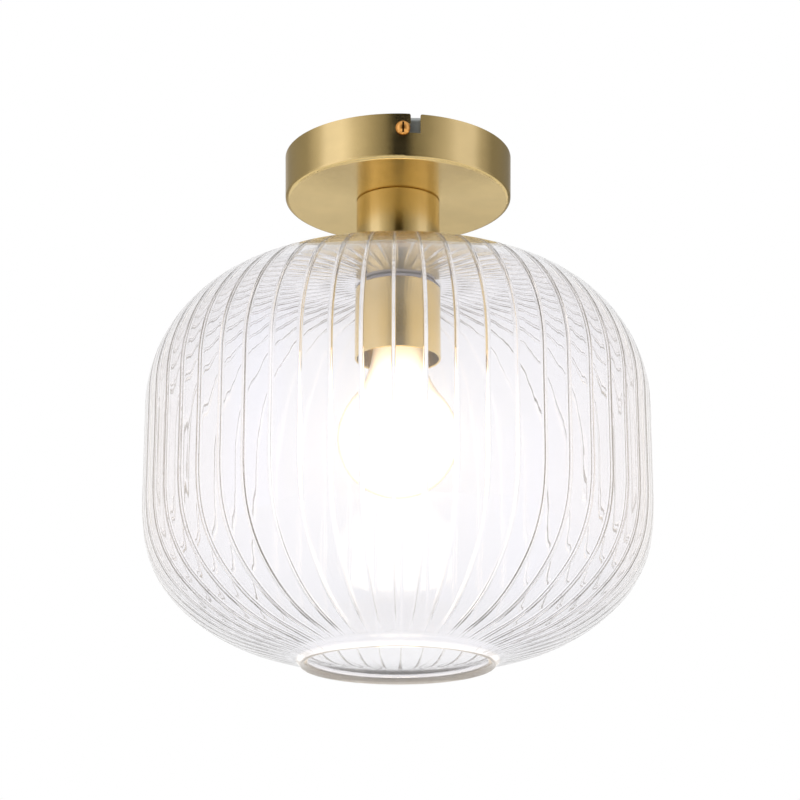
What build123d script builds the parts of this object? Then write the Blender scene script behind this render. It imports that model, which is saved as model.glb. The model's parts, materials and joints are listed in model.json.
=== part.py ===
from build123d import *
from math import cos, degrees, pi, radians, sin
import os

# Flush mount ceiling light: brass canopy on a steel bracket, short neck, fluted glass shade, E27 bulb.
# Millimetres. The origin is the middle of the ceiling plane, +Z is up and the light hangs below it.
# -Y is the front, where one of the two lock screws shows.

os.makedirs("parts", exist_ok=True)

# Canopy
canopy_radius = 57.75
canopy_height = 23.5
canopy_wall = 1.0
canopy_draft = 0.35
canopy_edge_radius = 2.0

# Bayonet slots of the canopy
lock_screw_depth = 7.7
slot_width = 4.6
notch_width = 4.8
notch_angle = 6.2
notch_corner_radius = 1.0
rim_flare = 2.0

# Bracket on the ceiling
bracket_width = 20.0
bracket_thickness = 1.5
bracket_bend_radius = 1.5
ear_height = 14.0
ear_gap = 1.75
ear_corner_radius = 4.0
ceiling_slot_spacing = 66.0
ceiling_slot_length = 16.0
ceiling_slot_width = 5.0
cable_hole_radius = 6.0
earth_screw_place = 16.0

# Screws
lock_screw_radius = 2.0
lock_screw_reach = 9.0
lock_head_radius = 3.6
lock_head_height = 2.6
lock_head_round = 2.2
driver_slot_width = 0.9
driver_slot_depth = 1.0
earth_screw_radius = 2.0
earth_head_radius = 3.8
earth_head_height = 2.4
earth_washer_radius = 4.6
earth_washer_thickness = 1.0
bridge_screw_radius = 1.5
bridge_head_radius = 2.6
bridge_head_height = 1.8
bridge_screw_reach = 7.0

# Clearances
running_clearance = 0.05
lock_head_gap = 0.2
passing_clearance = 0.15
bulb_contact_gap = 0.3

# Nipple, nuts and washers
nipple_radius = 5.0
nipple_bore_radius = 3.6
nipple_rise = 9.0
nipple_length = 35.0
nut_flats = 14.0
nut_height = 4.0
washer_radius = 8.0
washer_thickness = 1.0

# Earth tag
tag_thickness = 0.8
tag_radius = 8.0
tag_tongue_width = 5.0
tag_barrel_start = 11.0
tag_barrel_length = 7.0
tag_barrel_wall = 0.5

# Neck and sleeve
neck_radius = 21.15
neck_height = 39.0
neck_wall = 1.2
neck_top_round = 0.9
sleeve_radius = 17.5
sleeve_wall = 1.2
sleeve_length = 63.5

# Glass shade, outside over the crests of the flutes
shade_radius = 125.0
shade_wall = 4.0
shade_side_height = 48.5
mouth_radius = 46.7
clamp_land = 2.2
crown_slope = 6.0
shoulder_bend_radius = 70.0
flank_bend_radius = 110.0
flank_slope = 81.0
heel_bend_radius = 55.0
heel_slope = 46.0
base_bend_radius = 86.0
base_slope = 16.0
lip_bend_radius = 10.0
lip_slope = 60.0
flute_count = 54
flute_depth = 1.1
flute_fade_start = 52.0
flute_fade_end = 74.0
flute_land = 9.6

# Gaskets
gasket_thickness = 1.5
gasket_width = 3.2

# Shade ring
ring_radius = 21.6
ring_height = 39.0
ring_wall = 1.2
ring_collar_height = 7.0
ring_edge_round = 0.5

# Lampholder
bridge_plate = 1.5
bridge_width = 8.0
bridge_span = 19.6
bridge_foot = 5.6
bridge_rise = 13.0
bridge_boss_radius = 7.0
bridge_boss_height = 4.0
bridge_grip = 3.5
holder_radius = 16.0
holder_height = 37.0
holder_cavity_depth = 23.0
holder_edge = 1.0
terminal_hole_radius = 1.6
terminal_hole_depth = 8.0
terminal_hole_place = 8.5
shell_radius = 13.85
shell_wall = 0.4
shell_height = 17.0
contact_thickness = 0.5
contact_width = 6.0
contact_foot = 5.0
contact_drop = 1.5

# Bulb
bulb_radius = 30.0
bulb_length = 105.0
bulb_glass = 1.0
bulb_neck_radius = 12.5
bulb_neck_slope = 40.0
cap_radius = 13.1
cap_height = 19.5
cap_overlap = 6.0
insulator_height = 4.0
insulator_seat = 2.5
tip_radius = 4.8
tip_height = 1.2
stem_radius = 3.5
stem_flare_height = 8.0
stem_length = 36.0
filament_count = 4
filament_radius = 0.8
filament_length = 38.0
filament_lean = 9.0
filament_overlap = 8.0

# Terminal block and wires
block_place = 30.5
block_length = 17.0
block_pitch = 8.0
block_base_height = 7.0
block_edge = 0.8
tower_radius = 2.9
tower_height = 4.5
terminal_screw_pitch = 8.0
terminal_screw_radius = 1.5
terminal_screw_sink = 0.8
insert_length = 15.0
insert_wall = 0.65
insert_bore_radius = 1.25
wire_radius = 1.1
wire_grip = 5.0
wire_lead = 7.0
wire_pair_offset = 1.5
wire_bend_radius = 4.0
wire_arch = 6.5
wire_arch_dip = 2.0
wire_arch_run = 4.0
wire_arch_place = 5.5
wire_exit = 1.0
wire_entry = 2.5

# Levels and fits that follow from the sizes above
canopy_floor = canopy_wall - canopy_height
tag_level = canopy_floor + washer_thickness
canopy_nut_level = tag_level + tag_thickness
nipple_top = canopy_floor + nipple_rise
nipple_hole_radius = nipple_radius + passing_clearance
neck_cap_level = -canopy_height - neck_wall
sleeve_cap_level = neck_cap_level - sleeve_wall
sleeve_nut_level = sleeve_cap_level - washer_thickness
neck_bottom = -canopy_height - neck_height
shade_top = neck_bottom - gasket_thickness
shade_inside_top = shade_top - shade_wall
ring_top = shade_inside_top - gasket_thickness
bridge_top = nipple_top - nipple_length + bridge_grip
holder_top = bridge_top - bridge_rise
holder_bottom = holder_top - holder_height
cavity_top = holder_bottom + holder_cavity_depth
contact_low = cavity_top - contact_drop - contact_thickness
bulb_top = contact_low - bulb_contact_gap
cap_top = bulb_top - tip_height - insulator_height
cap_bottom = cap_top - cap_height
bulb_neck_top = cap_bottom + cap_overlap
bulb_centre = bulb_top - bulb_length + bulb_radius
terminal_axis = canopy_floor + block_base_height / 2
insert_radius = insert_bore_radius + insert_wall
gasket_inner_radius = sleeve_radius + 2 * passing_clearance
glass_hole_radius = gasket_inner_radius
clamp_radius = gasket_inner_radius + gasket_width + clamp_land
lock_hole_radius = lock_screw_radius + running_clearance
ear_face = canopy_radius - canopy_wall - ear_gap
lock_head_seat = canopy_radius + lock_head_gap
front = Plane(origin=(0, -lock_head_seat, 0), x_dir=(1, 0, 0), z_dir=(0, -1, 0))
rear = Plane(origin=(0, lock_head_seat, 0), x_dir=(-1, 0, 0), z_dir=(0, 1, 0))


# Mounting bracket: a strap bent down at both ends into ears for the lock screws
with BuildPart() as mounting_bracket:
    with BuildSketch(Plane.YZ) as strap:
        Rectangle(2 * ear_face, ear_height, align=(Align.CENTER, Align.MAX))
        fillet(strap.vertices().group_by(Axis.Y)[-1], bracket_bend_radius + bracket_thickness)
        with BuildSketch(mode=Mode.PRIVATE) as hollow:
            with Locations((0, -bracket_thickness)):
                Rectangle(2 * (ear_face - bracket_thickness), ear_height, align=(Align.CENTER, Align.MAX))
            fillet(hollow.vertices().group_by(Axis.Y)[-1], bracket_bend_radius)
        add(hollow.sketch, mode=Mode.SUBTRACT)
    extrude(amount=bracket_width / 2, both=True)
    fillet(mounting_bracket.edges().filter_by(Axis.Y).group_by(Axis.Z)[0], ear_corner_radius)
    with BuildSketch() as ceiling_holes:
        Circle(cable_hole_radius)
        with GridLocations(0, ceiling_slot_spacing, 1, 2):
            SlotOverall(ceiling_slot_length, ceiling_slot_width, rotation=90)
        with Locations((0, earth_screw_place)):
            Circle(earth_screw_radius)
    extrude(amount=-bracket_thickness, mode=Mode.SUBTRACT)
    with BuildSketch(Plane.XZ) as lock_holes:
        with Locations((0, -lock_screw_depth)):
            Circle(lock_hole_radius)
    extrude(amount=ear_face, both=True, mode=Mode.SUBTRACT)
mounting_bracket.part.label = "mounting_bracket"
export_step(mounting_bracket.part, "parts/mounting_bracket.step")

# Earth clamp screw and its washer, under the strap
with BuildPart(Plane.XY.offset(-bracket_thickness)) as bracket_earth_washer:
    with Locations((0, earth_screw_place, 0)):
        Cylinder(earth_washer_radius, earth_washer_thickness, align=(Align.CENTER, Align.CENTER, Align.MAX))
        Cylinder(earth_screw_radius, 2 * earth_washer_thickness, mode=Mode.SUBTRACT)
bracket_earth_washer.part.label = "bracket_earth_washer"
export_step(bracket_earth_washer.part, "parts/bracket_earth_washer.step")

earth_head_level = -bracket_thickness - earth_washer_thickness
with BuildPart(Plane.XY.offset(earth_head_level)) as bracket_earth_screw:
    with Locations((0, earth_screw_place, 0)):
        Cylinder(earth_head_radius, earth_head_height, align=(Align.CENTER, Align.CENTER, Align.MAX))
        Cylinder(earth_screw_radius, -earth_head_level, align=(Align.CENTER, Align.CENTER, Align.MIN))
    head_rim = bracket_earth_screw.edges().filter_by(GeomType.CIRCLE).sort_by(Axis.Z)[0]
    fillet(head_rim, earth_head_height / 2)
    with Locations((0, earth_screw_place, -earth_head_height)):
        Box(
            2 * earth_head_radius,
            driver_slot_width,
            driver_slot_depth,
            align=(Align.CENTER, Align.CENTER, Align.MIN),
            mode=Mode.SUBTRACT,
        )
bracket_earth_screw.part.label = "bracket_earth_screw"
export_step(bracket_earth_screw.part, "parts/bracket_earth_screw.step")

# Lock screws: round slotted heads outside the canopy, shanks through the slots into the ears
for name, face in (("lock_screw_front", front), ("lock_screw_rear", rear)):
    with BuildPart(face) as lock_screw:
        with Locations((0, -lock_screw_depth, 0)):
            Cylinder(lock_head_radius, lock_head_height, align=(Align.CENTER, Align.CENTER, Align.MIN))
            Cylinder(lock_screw_radius, lock_screw_reach, align=(Align.CENTER, Align.CENTER, Align.MAX))
        crown_edge = lock_screw.faces().sort_by(Axis(face.origin, face.z_dir))[-1].edges()
        fillet(crown_edge, lock_head_round)
        with Locations((0, -lock_screw_depth, lock_head_height)):
            Box(
                driver_slot_width,
                2 * lock_head_radius,
                driver_slot_depth,
                align=(Align.CENTER, Align.CENTER, Align.MAX),
                mode=Mode.SUBTRACT,
            )
    lock_screw.part.label = name
    export_step(lock_screw.part, f"parts/{name}.step")

# Canopy: a drawn cup with an L-shaped bayonet slot at the front and at the rear
notch_place = canopy_radius * sin(radians(notch_angle))
tongue_low = slot_width / 2 - lock_screw_depth
with BuildPart() as canopy:
    with BuildSketch(Plane.XZ) as canopy_side:
        with BuildLine():
            Polyline(
                (0, 0),
                (canopy_radius, 0),
                (canopy_radius - canopy_draft, -canopy_height),
                (0, -canopy_height),
                close=True,
            )
        make_face()
    revolve(axis=Axis.Z)
    fillet(canopy.edges().filter_by(GeomType.CIRCLE).sort_by(Axis.Z)[0], canopy_edge_radius)
    offset(amount=-canopy_wall, openings=canopy.faces().sort_by(Axis.Z)[-1])
    with BuildSketch(Plane.XY.offset(canopy_floor)) as canopy_hole:
        Circle(nipple_hole_radius)
    extrude(amount=-canopy_wall, mode=Mode.SUBTRACT)
    for face in (front, rear):
        with BuildSketch(face) as bayonet:
            with Locations((notch_place, 0)):
                Rectangle(notch_width, lock_screw_depth + slot_width / 2, align=(Align.CENTER, Align.MAX))
                Rectangle(3 * notch_width, rim_flare, align=(Align.CENTER, Align.MIN))
            with Locations((notch_place / 2, -lock_screw_depth)):
                SlotCenterToCenter(notch_place, slot_width)
            inner_side = bayonet.vertices().filter_by_position(
                Axis.X, notch_place - notch_width / 2, notch_place + notch_width / 2
            )
            fillet(inner_side.filter_by_position(Axis.Y, tongue_low, 0), notch_corner_radius)
        extrude(amount=-(lock_head_gap + canopy_draft + 3 * canopy_wall), mode=Mode.SUBTRACT)
canopy.part.label = "canopy"
export_step(canopy.part, "parts/canopy.step")

# Nipple: the hollow threaded tube that carries neck, sleeve and lampholder
with BuildPart() as nipple:
    with BuildSketch(Plane.XY.offset(nipple_top)) as nipple_ring:
        Circle(nipple_radius)
        Circle(nipple_bore_radius, mode=Mode.SUBTRACT)
    extrude(amount=-nipple_length)
nipple.part.label = "nipple"
export_step(nipple.part, "parts/nipple.step")

# Lock washers and nuts, above the canopy floor and under the sleeve cap
for name, level in (("canopy_lock_washer", canopy_floor), ("sleeve_lock_washer", sleeve_nut_level)):
    with BuildPart() as washer:
        with BuildSketch(Plane.XY.offset(level)) as washer_ring:
            Circle(washer_radius)
            Circle(nipple_hole_radius, mode=Mode.SUBTRACT)
        extrude(amount=washer_thickness)
    washer.part.label = name
    export_step(washer.part, f"parts/{name}.step")

for name, level in (("canopy_nut", canopy_nut_level), ("sleeve_nut", sleeve_nut_level - nut_height)):
    with BuildPart() as nut:
        with BuildSketch(Plane.XY.offset(level)) as hexagon:
            RegularPolygon(nut_flats / 2, 6, major_radius=False)
            Circle(nipple_radius + running_clearance, mode=Mode.SUBTRACT)
        extrude(amount=nut_height)
    nut.part.label = name
    export_step(nut.part, f"parts/{name}.step")

# Earth tag: ring under the canopy nut, tongue and crimp barrel towards the terminal block
tag_barrel_radius = wire_radius + tag_barrel_wall
with BuildPart() as earth_tag:
    with BuildSketch(Plane.XY.offset(tag_level)) as tag_plate:
        Circle(tag_radius)
        Rectangle(
            tag_barrel_start + tag_barrel_length, tag_tongue_width, align=(Align.MIN, Align.CENTER)
        )
        Circle(nipple_hole_radius, mode=Mode.SUBTRACT)
    extrude(amount=tag_thickness)
    with BuildSketch(Plane.YZ.offset(tag_barrel_start)) as tag_barrel:
        with Locations((0, terminal_axis)):
            Circle(tag_barrel_radius)
        with Locations((0, canopy_nut_level)):
            Rectangle(
                2 * wire_radius, terminal_axis - canopy_nut_level, align=(Align.CENTER, Align.MIN)
            )
        with Locations((0, terminal_axis)):
            Circle(wire_radius, mode=Mode.SUBTRACT)
    extrude(amount=tag_barrel_length)
earth_tag.part.label = "earth_tag"
export_step(earth_tag.part, "parts/earth_tag.step")

# Neck: a brass tube with a closed top under the canopy
with BuildPart() as neck:
    with BuildSketch(Plane.XY.offset(-canopy_height)) as neck_disc:
        Circle(neck_radius)
    extrude(amount=-neck_height)
    fillet(neck.edges().sort_by(Axis.Z)[-1], neck_top_round)
    with BuildSketch(Plane.XY.offset(neck_bottom)) as neck_inside:
        Circle(neck_radius - neck_wall)
    extrude(amount=neck_height - neck_wall, mode=Mode.SUBTRACT)
    with BuildSketch(Plane.XY.offset(-canopy_height)) as neck_hole:
        Circle(nipple_hole_radius)
    extrude(amount=-neck_wall, mode=Mode.SUBTRACT)
neck.part.label = "neck"
export_step(neck.part, "parts/neck.step")

# Holder sleeve: a capped tube that runs down through the hole in the glass
with BuildPart() as holder_sleeve:
    with BuildSketch(Plane.XY.offset(neck_cap_level)) as sleeve_disc:
        Circle(sleeve_radius)
    extrude(amount=-sleeve_length)
    with BuildSketch(Plane.XY.offset(neck_cap_level - sleeve_length)) as sleeve_inside:
        Circle(sleeve_radius - sleeve_wall)
    extrude(amount=sleeve_length - sleeve_wall, mode=Mode.SUBTRACT)
    with BuildSketch(Plane.XY.offset(neck_cap_level)) as sleeve_hole:
        Circle(nipple_hole_radius)
    extrude(amount=-sleeve_wall, mode=Mode.SUBTRACT)
holder_sleeve.part.label = "holder_sleeve"
export_step(holder_sleeve.part, "parts/holder_sleeve.step")

# Gaskets above and below the glass
for name, level in (("upper_gasket", shade_top), ("lower_gasket", ring_top)):
    with BuildPart() as gasket:
        with BuildSketch(Plane.XY.offset(level)) as gasket_ring:
            Circle(gasket_inner_radius + gasket_width)
            Circle(gasket_inner_radius, mode=Mode.SUBTRACT)
        extrude(amount=gasket_thickness)
    gasket.part.label = name
    export_step(gasket.part, f"parts/{name}.step")

# Glass shade. Its profile is a chain of tangent arcs: crown, shoulder, side, flank, heel, base and lip.
# Each arc is given by its bend radius and by the slope at which it ends, in degrees below level.
crown_end = shade_radius - shoulder_bend_radius * (1 - sin(radians(crown_slope)))
crown_bend_radius = (crown_end - clamp_radius) / sin(radians(crown_slope))
heel_run = flank_bend_radius * (1 - sin(radians(flank_slope)))
heel_run += heel_bend_radius * (sin(radians(flank_slope)) - sin(radians(heel_slope)))
base_start = shade_radius - heel_run
base_start -= base_bend_radius * (sin(radians(heel_slope)) - sin(radians(base_slope)))
lip_start = mouth_radius + lip_bend_radius * (sin(radians(lip_slope)) - sin(radians(base_slope)))
base_run = (base_start - lip_start) / cos(radians(base_slope))


def shade_profile(inset):
    """Lines of the shade profile from the clamp land to the mouth, moved into the glass by inset."""
    crown = JernArc((clamp_radius, shade_top - inset), (1, 0), crown_bend_radius - inset, -crown_slope)
    shoulder = JernArc(crown @ 1, crown % 1, shoulder_bend_radius - inset, crown_slope - 90)
    side = Line(shoulder @ 1, shoulder @ 1 - Vector(0, shade_side_height))
    flank = JernArc(side @ 1, side % 1, flank_bend_radius - inset, flank_slope - 90)
    heel = JernArc(flank @ 1, flank % 1, heel_bend_radius - inset, heel_slope - flank_slope)
    base_bend = JernArc(heel @ 1, heel % 1, base_bend_radius - inset, base_slope - heel_slope)
    base = Line(base_bend @ 1, base_bend @ 1 + (base_bend % 1) * base_run)
    lip = JernArc(base @ 1, base % 1, lip_bend_radius + inset, lip_slope - base_slope)
    return [crown, shoulder, side, flank, heel, base_bend, base, lip]


# Sections through the glass, counted along each line of the profile
sections_along = (2, 7, 1, 1, 4, 3, 1, 2)


def profile_stations(inset):
    """Points and headings at the sections of the shade, moved into the glass by inset."""
    with BuildLine(mode=Mode.PRIVATE):
        lines = shade_profile(inset)
    stations = [(lines[0] @ 0, lines[0] % 0)]
    for line, steps in zip(lines, sections_along):
        stations += [(line @ (step / steps), line % (step / steps)) for step in range(1, steps + 1)]
    return stations


def flute_reach(radius, heading):
    """How far the valleys stand in from the lands, level with them, at a radius of the profile."""
    chord = 2 * radius * sin(pi / flute_count)
    wanted = flute_depth * radius / shade_radius / max(abs(heading.Y), flute_depth / chord)
    fade = (radius - flute_fade_start) / (flute_fade_end - flute_fade_start)
    return min(wanted, chord / 3) * min(max(fade, 0), 1)


# The outside is lofted through sections with a flat land and a valley for each flute, the inside is turned
flute_step = 360 / flute_count
half_land = degrees(flute_land / shade_radius) / 2
with BuildPart() as glass_shade:
    for place, heading in profile_stations(0):
        valley = Vector(place.X - flute_reach(place.X, heading), 0)
        land = Vector(place.X, 0)
        corners = []
        for flute in range(flute_count):
            crest = flute * flute_step - 90
            corners.append(valley.rotate(Axis.Z, crest - flute_step / 2))
            corners.append(land.rotate(Axis.Z, crest - half_land))
            corners.append(land.rotate(Axis.Z, crest + half_land))
        with BuildSketch(Plane.XY.offset(place.Y)) as section:
            with BuildLine() as flutes:
                Polyline(*corners, close=True)
            make_face()
    loft(ruled=True)
    inside = [place for place, heading in profile_stations(shade_wall)]
    mouth = inside[-1]
    with BuildSketch(Plane.XZ) as shade_inside:
        with BuildLine() as inside_line:
            Polyline(
                *inside,
                (mouth.X, mouth.Y - shade_wall),
                (0, mouth.Y - shade_wall),
                (0, shade_inside_top),
                close=True,
            )
        make_face()
    revolve(axis=Axis.Z, mode=Mode.SUBTRACT)
    with BuildSketch(Plane.XY.offset(shade_top)) as glass_hole:
        Circle(glass_hole_radius)
    extrude(amount=-shade_wall, mode=Mode.SUBTRACT)
glass_shade.part.label = "glass_shade"
export_step(glass_shade.part, "parts/glass_shade.step")

# Shade ring: the brass cup inside the glass, with a threaded collar that runs on the sleeve
with BuildPart() as shade_ring:
    with BuildSketch(Plane.XY.offset(ring_top)) as ring_disc:
        Circle(ring_radius)
        Circle(sleeve_radius + running_clearance, mode=Mode.SUBTRACT)
    extrude(amount=-ring_height)
    with BuildSketch(Plane.XY.offset(ring_top - ring_height)) as ring_inside:
        Circle(ring_radius - ring_wall)
    extrude(amount=ring_height - ring_collar_height, mode=Mode.SUBTRACT)
    fillet(shade_ring.edges().group_by(Axis.Z)[0], ring_edge_round)
    fillet(shade_ring.edges().group_by(Axis.Z)[-1].sort_by(SortBy.LENGTH)[-1], ring_edge_round)
shade_ring.part.label = "shade_ring"
export_step(shade_ring.part, "parts/shade_ring.step")

# Holder bridge: a steel hat strap with the threaded boss that takes the end of the nipple
with BuildPart() as holder_bridge:
    with BuildSketch(Plane.XZ) as hat:
        with BuildLine() as hat_half:
            Polyline(
                (0, bridge_top),
                (bridge_span / 2, bridge_top),
                (bridge_span / 2, holder_top + bridge_plate),
                (bridge_span / 2 + bridge_foot, holder_top + bridge_plate),
                (bridge_span / 2 + bridge_foot, holder_top),
                (bridge_span / 2 - bridge_plate, holder_top),
                (bridge_span / 2 - bridge_plate, bridge_top - bridge_plate),
                (0, bridge_top - bridge_plate),
            )
            mirror(about=Plane.YZ)
        make_face()
    extrude(amount=bridge_width / 2, both=True)
    with BuildSketch(Plane.XY.offset(bridge_top)) as boss:
        Circle(bridge_boss_radius)
    extrude(amount=bridge_boss_height)
    with BuildSketch(Plane.XY.offset(bridge_top + bridge_boss_height)) as boss_bore:
        Circle(nipple_radius + running_clearance)
    extrude(amount=-(bridge_boss_height + bridge_plate), mode=Mode.SUBTRACT)
    with BuildSketch(Plane.XY.offset(holder_top)) as foot_holes:
        with GridLocations(bridge_span + bridge_foot, 0, 2, 1):
            Circle(bridge_screw_radius)
    extrude(amount=bridge_plate, mode=Mode.SUBTRACT)
holder_bridge.part.label = "holder_bridge"
export_step(holder_bridge.part, "parts/holder_bridge.step")

# Screws through the feet of the bridge into the lampholder
bridge_screw_place = (bridge_span + bridge_foot) / 2
for name, place in (("bridge_screw_left", -bridge_screw_place), ("bridge_screw_right", bridge_screw_place)):
    with BuildPart(Plane.XY.offset(holder_top + bridge_plate)) as bridge_screw:
        with Locations((place, 0, 0)):
            Cylinder(bridge_head_radius, bridge_head_height, align=(Align.CENTER, Align.CENTER, Align.MIN))
            Cylinder(bridge_screw_radius, bridge_screw_reach, align=(Align.CENTER, Align.CENTER, Align.MAX))
    bridge_screw.part.label = name
    export_step(bridge_screw.part, f"parts/{name}.step")

# Lampholder body: ceramic, with a cavity for the bulb cap and two push-in holes for the wires
with BuildPart() as holder_body:
    with BuildSketch(Plane.XY.offset(holder_top)) as holder_disc:
        Circle(holder_radius)
    extrude(amount=-holder_height)
    chamfer(holder_body.edges().filter_by(GeomType.CIRCLE), holder_edge)
    with BuildSketch(Plane.XY.offset(holder_bottom)) as cavity:
        Circle(shell_radius)
    extrude(amount=holder_cavity_depth, mode=Mode.SUBTRACT)
    with BuildSketch(Plane.XY.offset(holder_top)) as wire_holes:
        with GridLocations(0, 2 * terminal_hole_place, 1, 2):
            Circle(terminal_hole_radius)
    extrude(amount=-terminal_hole_depth, mode=Mode.SUBTRACT)
    with BuildSketch(Plane.XY.offset(holder_top)) as screw_holes:
        with GridLocations(2 * bridge_screw_place, 0, 2, 1):
            Circle(bridge_screw_radius)
    extrude(amount=bridge_plate - bridge_screw_reach, mode=Mode.SUBTRACT)
holder_body.part.label = "holder_body"
export_step(holder_body.part, "parts/holder_body.step")

# Screw shell that the cap of the bulb turns in
with BuildPart() as screw_shell:
    with BuildSketch(Plane.XY.offset(holder_bottom + holder_edge)) as shell_ring:
        Circle(shell_radius)
        Circle(shell_radius - shell_wall, mode=Mode.SUBTRACT)
    extrude(amount=shell_height)
screw_shell.part.label = "screw_shell"
export_step(screw_shell.part, "parts/screw_shell.step")

# Centre contact: a spring strip from its foot on the cavity floor down to the tip of the bulb
contact_reach = shell_radius - shell_wall - contact_foot / 2
with BuildPart() as centre_contact:
    with BuildSketch(Plane.XZ) as spring:
        with BuildLine():
            Polyline(
                (-contact_reach, cavity_top),
                (contact_foot - contact_reach, cavity_top),
                (-contact_foot / 2, cavity_top - contact_drop),
                (contact_foot / 2, cavity_top - contact_drop),
                (contact_foot / 2, contact_low),
                (-contact_foot / 2, contact_low),
                (contact_foot - contact_reach, cavity_top - contact_thickness),
                (-contact_reach, cavity_top - contact_thickness),
                close=True,
            )
        make_face()
    extrude(amount=contact_width / 2, both=True)
centre_contact.part.label = "centre_contact"
export_step(centre_contact.part, "parts/centre_contact.step")

# Bulb envelope: a pear-shaped frosted glass shell


def envelope_outline(inset):
    """Closed half outline of the bulb, moved inwards by inset."""
    neck_point = Vector(bulb_neck_radius - inset, bulb_neck_top)
    neck_end = Vector(bulb_neck_radius - inset, cap_bottom)
    turn = radians(bulb_neck_slope)
    ball = bulb_radius - inset
    ball_start = Vector(ball * cos(turn), bulb_centre + ball * sin(turn))
    Line(neck_point, neck_end)
    Spline(neck_end, ball_start, tangents=[(0, -1), (sin(turn), -cos(turn))])
    ThreePointArc(ball_start, (ball * cos(turn / 2), bulb_centre - ball * sin(turn / 2)), (0, bulb_centre - ball))
    Polyline((0, bulb_centre - ball), (0, bulb_neck_top), neck_point)


with BuildPart() as bulb_envelope:
    for inset, mode in ((0, Mode.ADD), (bulb_glass, Mode.SUBTRACT)):
        with BuildSketch(Plane.XZ) as pear:
            with BuildLine():
                envelope_outline(inset)
            make_face()
        revolve(axis=Axis.Z, mode=mode)
bulb_envelope.part.label = "bulb_envelope"
export_step(bulb_envelope.part, "parts/bulb_envelope.step")

# Bulb cap, its insulator and its tip contact
with BuildPart() as bulb_cap:
    with BuildSketch(Plane.XY.offset(cap_bottom)) as cap_ring:
        Circle(cap_radius)
        Circle(bulb_neck_radius, mode=Mode.SUBTRACT)
    extrude(amount=cap_height)
bulb_cap.part.label = "bulb_cap"
export_step(bulb_cap.part, "parts/bulb_cap.step")

with BuildPart() as bulb_insulator:
    with BuildSketch(Plane.XZ) as insulator_half:
        with BuildLine():
            Polyline(
                (0, cap_top + insulator_height),
                (tip_radius, cap_top + insulator_height),
                (bulb_neck_radius, cap_top),
                (bulb_neck_radius, cap_top - insulator_seat),
                (0, cap_top - insulator_seat),
                close=True,
            )
        make_face()
    revolve(axis=Axis.Z)
bulb_insulator.part.label = "bulb_insulator"
export_step(bulb_insulator.part, "parts/bulb_insulator.step")

with BuildPart() as bulb_tip_contact:
    with BuildSketch(Plane.XY.offset(bulb_top - tip_height)) as tip_disc:
        Circle(tip_radius)
    extrude(amount=tip_height)
    fillet(bulb_tip_contact.edges().sort_by(Axis.Z)[-1], tip_height / 2)
bulb_tip_contact.part.label = "bulb_tip_contact"
export_step(bulb_tip_contact.part, "parts/bulb_tip_contact.step")

# Glass stem with its flare in the neck of the envelope, and the filaments that stand round its end
stem_seat = bulb_neck_radius - bulb_glass
stem_end = bulb_neck_top - stem_length
with BuildPart() as bulb_stem:
    with BuildSketch(Plane.XZ) as stem_half:
        with BuildLine():
            Polyline((0, stem_end), (0, bulb_neck_top), (stem_seat, bulb_neck_top))
            Line((stem_seat, bulb_neck_top), (stem_seat, bulb_neck_top - bulb_glass))
            Spline(
                (stem_seat, bulb_neck_top - bulb_glass),
                (stem_radius, bulb_neck_top - stem_flare_height),
                tangents=[(-1, 0), (0, -1)],
            )
            Polyline((stem_radius, bulb_neck_top - stem_flare_height), (stem_radius, stem_end), (0, stem_end))
        make_face()
    revolve(axis=Axis.Z)
    fillet(bulb_stem.edges().group_by(Axis.Z)[0], stem_radius / 2)
bulb_stem.part.label = "bulb_stem"
export_step(bulb_stem.part, "parts/bulb_stem.step")

for index in range(filament_count):
    turn = 360 / filament_count * (index + 0.5)
    foot = Vector(stem_radius + filament_radius + passing_clearance, 0, stem_end + filament_overlap)
    lean = Vector(0, 0, -1).rotate(Axis.Y, -filament_lean)
    with BuildPart(Plane(foot.rotate(Axis.Z, turn), z_dir=lean.rotate(Axis.Z, turn))) as bulb_filament:
        Cylinder(filament_radius, filament_length, align=(Align.CENTER, Align.CENTER, Align.MIN))
    bulb_filament.part.label = f"bulb_filament_{index + 1}"
    export_step(bulb_filament.part, f"parts/bulb_filament_{index + 1}.step")

# Terminal block: a three way connector that lies on the canopy floor
poles = {"live": -block_pitch, "earth": 0, "neutral": block_pitch}
block_width = 3 * block_pitch + 2 * block_edge
tower_top = canopy_floor + block_base_height + tower_height
screw_low = terminal_axis + wire_radius
with BuildPart() as terminal_block:
    with BuildSketch(Plane.XY.offset(canopy_floor)) as block_base:
        with Locations((block_place, 0)):
            RectangleRounded(block_length, block_width, block_edge)
    extrude(amount=block_base_height)
    with BuildSketch(Plane.XY.offset(canopy_floor + block_base_height)) as towers:
        with Locations((block_place, 0)):
            with GridLocations(terminal_screw_pitch, block_pitch, 2, 3):
                Circle(tower_radius)
    extrude(amount=tower_height)
    with BuildSketch(Plane.XY.offset(tower_top)) as tower_bores:
        with Locations((block_place, 0)):
            with GridLocations(terminal_screw_pitch, block_pitch, 2, 3):
                Circle(terminal_screw_radius)
    extrude(amount=terminal_axis - tower_top, mode=Mode.SUBTRACT)
    with BuildSketch(Plane.YZ.offset(block_place)) as insert_bores:
        with Locations((0, terminal_axis)):
            with GridLocations(block_pitch, 0, 3, 1):
                Circle(insert_radius)
    extrude(amount=block_length / 2, both=True, mode=Mode.SUBTRACT)
terminal_block.part.label = "terminal_block"
export_step(terminal_block.part, "parts/terminal_block.step")

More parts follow.
